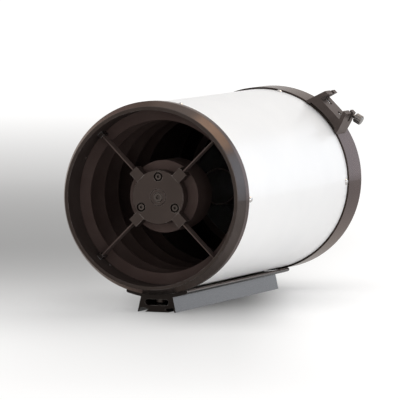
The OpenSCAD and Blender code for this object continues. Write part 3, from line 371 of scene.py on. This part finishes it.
bar_anodised = coated(
    "bar_anodised", dark=(0.006, 0.0040, 0.0035), light=(0.010, 0.0072, 0.0065), rough=(0.22, 0.28),
    Specular_Tint=WARM_SHEEN, Specular_IOR_Level=0.16, **BAR_COAT,
)
# Lighter, metallic copy of the bar paint, on the tops of the wings only: painted highlight where they catch
# light off the tube
wing_top_highlight = coated(
    "wing_top_highlight", dark=(0.060, 0.050, 0.046), light=(0.076, 0.064, 0.060), rough=(0.30, 0.40),
    Metallic=0.7, Specular_Tint=(0.8, 0.7, 0.65, 1), **BAR_COAT,
)
shoe_coat = coated(
    "shoe_coat", dark=(0.052, 0.0425, 0.0400), light=(0.068, 0.0560, 0.0530), rough=(0.32, 0.44),
    wave=0.30 * MM, depth=0.005 * MM, wear=(0.20, 0.18, 0.17), wear_radius=0.6 * MM,
    Metallic=0.35, Specular_Tint=TAN_EDGE,
)
knob_anodised = coated(
    "knob_anodised", dark=(0.022, 0.0205, 0.021), light=(0.036, 0.034, 0.035), rough=(0.26, 0.40),
    wave=0.25 * MM, depth=0.004 * MM, wear=(0.22, 0.22, 0.225), wear_radius=0.5 * MM, IOR=1.6,
)
black_oxide = coated(
    "black_oxide", dark=(0.026, 0.0190, 0.0170), light=(0.040, 0.031, 0.028), rough=(0.34, 0.48),
    wave=0.20 * MM, depth=0.004 * MM, wear=(0.15, 0.135, 0.125), wear_radius=0.3 * MM,
    Specular_Tint=WARM_SHEEN,
)


# Bare and plated metals

bright_chrome = bare_metal(
    "bright_chrome", dark=(0.40, 0.385, 0.375), light=(0.54, 0.525, 0.515), rough=(0.12, 0.24),
    wave=0.4 * MM, depth=0.001 * MM,
)
dark_nickel = bare_metal(
    "dark_nickel", dark=(0.13, 0.118, 0.112), light=(0.22, 0.205, 0.195), rough=(0.22, 0.34),
    wave=0.3 * MM, depth=0.002 * MM,
)
plain_steel = bare_metal(
    "plain_steel", dark=(0.46, 0.46, 0.47), light=(0.60, 0.60, 0.61), rough=(0.26, 0.40),
    wave=0.3 * MM, depth=0.002 * MM,
)
drawn_chrome = bare_metal(
    "drawn_chrome", dark=(0.50, 0.50, 0.51), light=(0.57, 0.57, 0.58), rough=(0.17, 0.23),
    wave=0.6 * MM, depth=0.0003 * MM, stretch=(1, 0.05, 1),
)
clear_anodised = bare_metal(
    "clear_anodised", dark=(0.46, 0.46, 0.47), light=(0.56, 0.56, 0.57), rough=(0.28, 0.36),
    wave=0.3 * MM, depth=0.001 * MM, stretch=(0.1, 1, 1),
)
turned_brass = bare_metal(
    "turned_brass", dark=(0.62, 0.44, 0.18), light=(0.78, 0.58, 0.27), rough=(0.20, 0.34),
    wave=0.3 * MM, depth=0.002 * MM,
)


# Which piece has which material

# By the record's material slot
SLOT_FINISHES = {
    "white_tube": white_enamel(),
    "ring_black": ring_satin,
    "flat_black": flat_black,
    "vane_black": vane_paint,
    "hub_black": hub_coat,
    "bar_anodised": bar_anodised,
    "bright_screws": bright_chrome,
    "black_screws": black_oxide,
    "steel_parts": plain_steel,
    "chrome_parts": drawn_chrome,
    "fine_metal": clear_anodised,
    "brass_ring": turned_brass,
    "foam": foam_rubber(),
    "mirror_glass": mirror_coat("mirror_coat"),
}

# By node, where a piece differs from the rest of its slot
NODE_FINISHES = {
    "front_ring": rim_satin,
    "ball_washer": hub_coat,
    "dovetail_bolts": black_oxide,
    "secondary_cell": cell_black,
    "primary_cell": cell_black,
    "finder_shoe": shoe_coat,
    "finder_thumbscrew": dark_nickel,
    "focuser_body": shoe_coat,
    "saddle_cover": shoe_coat,
    "coarse_knob_left": knob_anodised,
    "coarse_knob_right": knob_anodised,
    "focuser_adapter": knob_anodised,
    "eyepiece_collar": knob_anodised,
    **{name: baffle_black for name in nodes if name.startswith("tube_baffle_")},
}

for part in frame["record"]["subparts"]:
    node = nodes[part["node"]]
    node.data.materials.clear()
    node.data.materials.append(NODE_FINISHES.get(part["node"], SLOT_FINISHES[part["material_slot"]]))


# Faces with a paint of their own, picked by which way they look

# A face looks a way when the cosine of its angle to that way is over this
LOOKS = 0.5

# Least cosines by which the cone of the front ring looks forward and the tops of the bar's wings look up
CONE_LEAN = 0.2
WING_SLOPE = 0.3

# Depth below the top of the bar in which its wings lie
WING_DEPTH = 12 * MM

# Radius of the hollow face of the primary mirror
DISH_CURVE = 915 * MM

bar_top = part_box("dovetail_bar")[1].z


def facing_out(face):
    """How far a face looks away from the optical axis, from -1 to 1."""
    outward = Vector((face.center.x, 0, face.center.z - AXIS_HEIGHT))
    return face.normal.dot(outward.normalized())


def looks_in(face):
    """True on the inside of a round piece."""
    return facing_out(face) < -LOOKS


def looks_forward(face):
    """True on the front of a piece."""
    return face.normal.y < -LOOKS


def is_cone(face):
    """True on the cone of the front ring."""
    return facing_out(face) > LOOKS and face.normal.y < -CONE_LEAN


def is_wing_top(face):
    """True on the tops of the bar's wings."""
    return face.normal.z > WING_SLOPE and face.center.z > bar_top - WING_DEPTH


def dish_centre():
    """Centre of the sphere that the face of the primary mirror follows."""
    low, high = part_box("primary_mirror")
    radius = (high.x - low.x) / 2
    return (0, low.y - math.sqrt(DISH_CURVE ** 2 - radius ** 2), AXIS_HEIGHT)


def paint_faces(name, paint, picks):
    """Gives the picked faces of a node their own paint."""
    mesh = nodes[name].data
    mesh.materials.append(paint)
    slot = len(mesh.materials) - 1
    for face in mesh.polygons:
        if picks(face):
            face.material_index = slot


paint_faces("tube", flat_black, looks_in)
# The bore's darker black is partly painted shade
paint_faces("front_ring", bore_black, looks_in)
# The cone's lighter paint is a painted sheen
paint_faces("front_ring", cone_painted_sheen, is_cone)
# The wing tops' lighter paint is a painted highlight
paint_faces("dovetail_bar", wing_top_highlight, is_wing_top)
paint_faces("primary_mirror", mirror_coat("dish_coat", dish_centre()), looks_forward)


# Floor

# Half the width of the floor, and how far it lies under the foot, so that the two faces stay apart
FLOOR_REACH = 40.0
FLOOR_DROP = 0.3 * MM

# Colour with which the floor lights the object, and the share of its tone that lamps light where it is seen
BOUNCE_COLOUR = (0.94, 0.94, 0.94)
LIT_SHARE = 0.6

# Painted shade at the left, a grey fall-off: its tone by depth behind the object, and its share by place
# across
LEFT_SHADE_TONES = (
    (-1.2, 1.0), (-0.45, 0.86), (0.23, 0.49), (0.9, 0.365), (2.1, 0.565), (3.8, 0.93), (5.6, 1.0),
)
LEFT_SHADE_SHARES = ((-1.4, 0.0), (-0.5, 0.85), (-0.15, 1.0), (0.04, 0.45), (0.2, 0.05), (0.4, 0.0))

# Soft pool of shade in front of and under the object, by depth and by place across
POOL_DEPTHS = ((-1.2, 0.0), (-0.42, 0.19), (0.1, 0.10), (0.5, 0.0))
POOL_WIDTHS = ((-0.32, 0.0), (-0.19, 0.40), (-0.04, 1.0), (0.02, 1.0), (0.11, 0.2), (0.26, 0.0))

# Darker shade close to the foot of the bar, by depth and by place across
CONTACT_DEPTHS = ((-0.40, 0.0), (-0.1, 0.45), (0.1, 0.45), (0.4, 0.0))
CONTACT_WIDTHS = ((-0.1, 0.0), (-0.02, 1.0), (0.04, 0.95), (0.09, 0.1), (0.2, 0.0))

# Light of its own that the floor shows to the camera and in reflections, by distance from the object
GLOWS = ((0.0, 0.30), (0.2, 0.60), (1.0, 0.54), (5.0, 0.70))


def floor_material():
    """Pale floor with painted shade, a grey fall-off at the left and a pool and contact shade under the
    object, white further off; it also keeps the object's cast shadow.
    """
    made, tree, shader = start_material("floor")
    turn = add(tree, "Mapping", vector_type="TEXTURE", rotation=(0, 0, math.radians(CAMERA_AZIMUTH)))
    tree.links.new(place(tree), turn.inputs["Vector"])
    spot = add(tree, "SeparateXYZ")
    tree.links.new(turn.outputs["Vector"], spot.inputs["Vector"])
    across, depth = spot.outputs["X"], spot.outputs["Y"]
    distance = add(tree, "VectorMath", operation="LENGTH")
    tree.links.new(turn.outputs["Vector"], distance.inputs[0])

    left_shade_by_depth = rest_of(tree, ramp(tree, depth, LEFT_SHADE_TONES))
    left_shade = times(tree, left_shade_by_depth, ramp(tree, across, LEFT_SHADE_SHARES))
    shade_pool = times(tree, ramp(tree, depth, POOL_DEPTHS), ramp(tree, across, POOL_WIDTHS))
    contact_shade = times(tree, ramp(tree, depth, CONTACT_DEPTHS), ramp(tree, across, CONTACT_WIDTHS))
    shaded = times(tree, rest_of(tree, shade_pool), rest_of(tree, contact_shade))
    tone = times(tree, rest_of(tree, left_shade), shaded)
    glow = times(tree, tone, ramp(tree, distance.outputs["Value"], GLOWS))

    seen = seen_rays(tree)
    lit = add(tree, "Math", operation="MULTIPLY")
    tree.links.new(tone, lit.inputs[0])
    lit.inputs[1].default_value = LIT_SHARE
    base = add(tree, "Mix", data_type="RGBA")
    base.inputs["A"].default_value = (*BOUNCE_COLOUR, 1)
    tree.links.new(lit.outputs["Value"], base.inputs["B"])
    tree.links.new(seen, base.inputs["Factor"])
    tree.links.new(base.outputs["Result"], shader.inputs["Base Color"])
    shader.inputs["Roughness"].default_value = 0.9
    shader.inputs["Specular IOR Level"].default_value = 0.0
    shader.inputs["Emission Color"].default_value = (1, 1, 1, 1)
    tree.links.new(times(tree, seen, glow), shader.inputs["Emission Strength"])
    return made


def add_floor():
    """One large square just under the foot."""
    half = FLOOR_REACH
    mesh = bpy.data.meshes.new("floor")
    corners = [(-half, -half, 0), (half, -half, 0), (half, half, 0), (-half, half, 0)]
    mesh.from_pydata(corners, [], [(0, 1, 2, 3)])
    floor = bpy.data.objects.new("floor", mesh)
    bpy.context.scene.collection.objects.link(floor)
    floor.location.z = -FLOOR_DROP
    mesh.materials.append(floor_material())


# Light and camera

# Strength and colour of the world as light, and its strength where it is seen
SOFT_STRENGTH = 0.67
SOFT_COLOUR = (1.0, 0.985, 0.97, 1)
WHITE_STRENGTH = 1.0

# Colours of the lamps and of the cards
WARM_LIGHT = (1.0, 0.97, 0.94)
COOL_LIGHT = (0.94, 0.97, 1.0)
FRONT_LIGHT = (1.0, 0.96, 0.92)
TAN_CARD = (1.0, 0.67, 0.41)
BLUE_CARD = (0.58, 0.78, 1.0)
PALE_CARD = (0.80, 0.88, 1.0)


def add_world():
    """White behind the object for the camera and for reflections, softer as light."""
    world = bpy.data.worlds.new("studio")
    bpy.context.scene.world = world
    world.use_nodes = True
    tree = world.node_tree
    tree.nodes.clear()
    white = add(tree, "Background", strength=WHITE_STRENGTH, color=(1, 1, 1, 1))
    soft = add(tree, "Background", strength=SOFT_STRENGTH, color=SOFT_COLOUR)
    mix = add(tree, "MixShader")
    tree.links.new(seen_rays(tree), mix.inputs["Fac"])
    tree.links.new(soft.outputs["Background"], mix.inputs[1])
    tree.links.new(white.outputs["Background"], mix.inputs[2])
    output = add(tree, "OutputWorld")
    tree.links.new(mix.outputs["Shader"], output.inputs["Surface"])


def add_softbox(name, where, size, power, colour, card=False):
    """Area light that faces the object, of a width and height, or a card that shows only in reflections."""
    light = bpy.data.lights.new(name, "AREA")
    light.shape = "RECTANGLE"
    light.size, light.size_y = size
    light.energy = power
    light.color = colour
    lamp = bpy.data.objects.new(name, light)
    bpy.context.scene.collection.objects.link(lamp)
    lamp.location = where
    lamp.rotation_mode = "QUATERNION"
    lamp.rotation_quaternion = (AIM - Vector(where)).to_track_quat("-Z", "Y")
    lamp.visible_diffuse = not card


def add_lights():
    """Four soft lamps round the object, and three cards that give the rings their sheen."""
    add_softbox("overhead", where=(0.3, 1.3, 2.0), size=(2.4, 2.4), power=11, colour=WARM_LIGHT)
    add_softbox("right", where=(2.2, -1.0, 0.2), size=(1.2, 1.2), power=15, colour=COOL_LIGHT)
    add_softbox("left", where=(-1.8, -1.5, 0.7), size=(1.0, 1.0), power=7, colour=WARM_LIGHT)
    add_softbox("front", where=(1.5, -2.3, 0.2), size=(0.6, 0.6), power=6, colour=FRONT_LIGHT)
    add_softbox("warm_card", where=(1.1, 0.88, 1.9), size=(1.2, 1.2), power=15, colour=TAN_CARD, card=True)
    add_softbox("cool_card", where=(2.3, 0.95, 0.85), size=(1.0, 1.7), power=12, colour=BLUE_CARD, card=True)
    add_softbox("back_card", where=(1.0, 2.8, 0.5), size=(1.2, 1.2), power=6, colour=PALE_CARD, card=True)


def add_camera():
    """Camera at the photograph's viewing angle, with its small roll."""
    azimuth = math.radians(CAMERA_AZIMUTH)
    elevation = math.radians(CAMERA_ELEVATION)
    roll = math.radians(CAMERA_ROLL)
    back = Vector((
        math.sin(azimuth) * math.cos(elevation),
        -math.cos(azimuth) * math.cos(elevation),
        math.sin(elevation),
    ))
    right = Vector((math.cos(azimuth), math.sin(azimuth), 0))
    up = back.cross(right)
    rolled_right = math.cos(roll) * right + math.sin(roll) * up
    rolled_up = math.cos(roll) * up - math.sin(roll) * right
    data = bpy.data.cameras.new("camera")
    data.lens = CAMERA_LENS
    data.sensor_width = CAMERA_SENSOR
    data.clip_end = 4 * FLOOR_REACH
    camera = bpy.data.objects.new("camera", data)
    bpy.context.scene.collection.objects.link(camera)
    turn = Matrix((rolled_right, rolled_up, back)).transposed()
    camera.matrix_world = Matrix.Translation(AIM + CAMERA_OFFSET) @ turn.to_4x4()
    bpy.context.scene.camera = camera


add_floor()
add_world()
add_lights()
add_camera()
bpy.context.scene.view_settings.view_transform = "Standard"
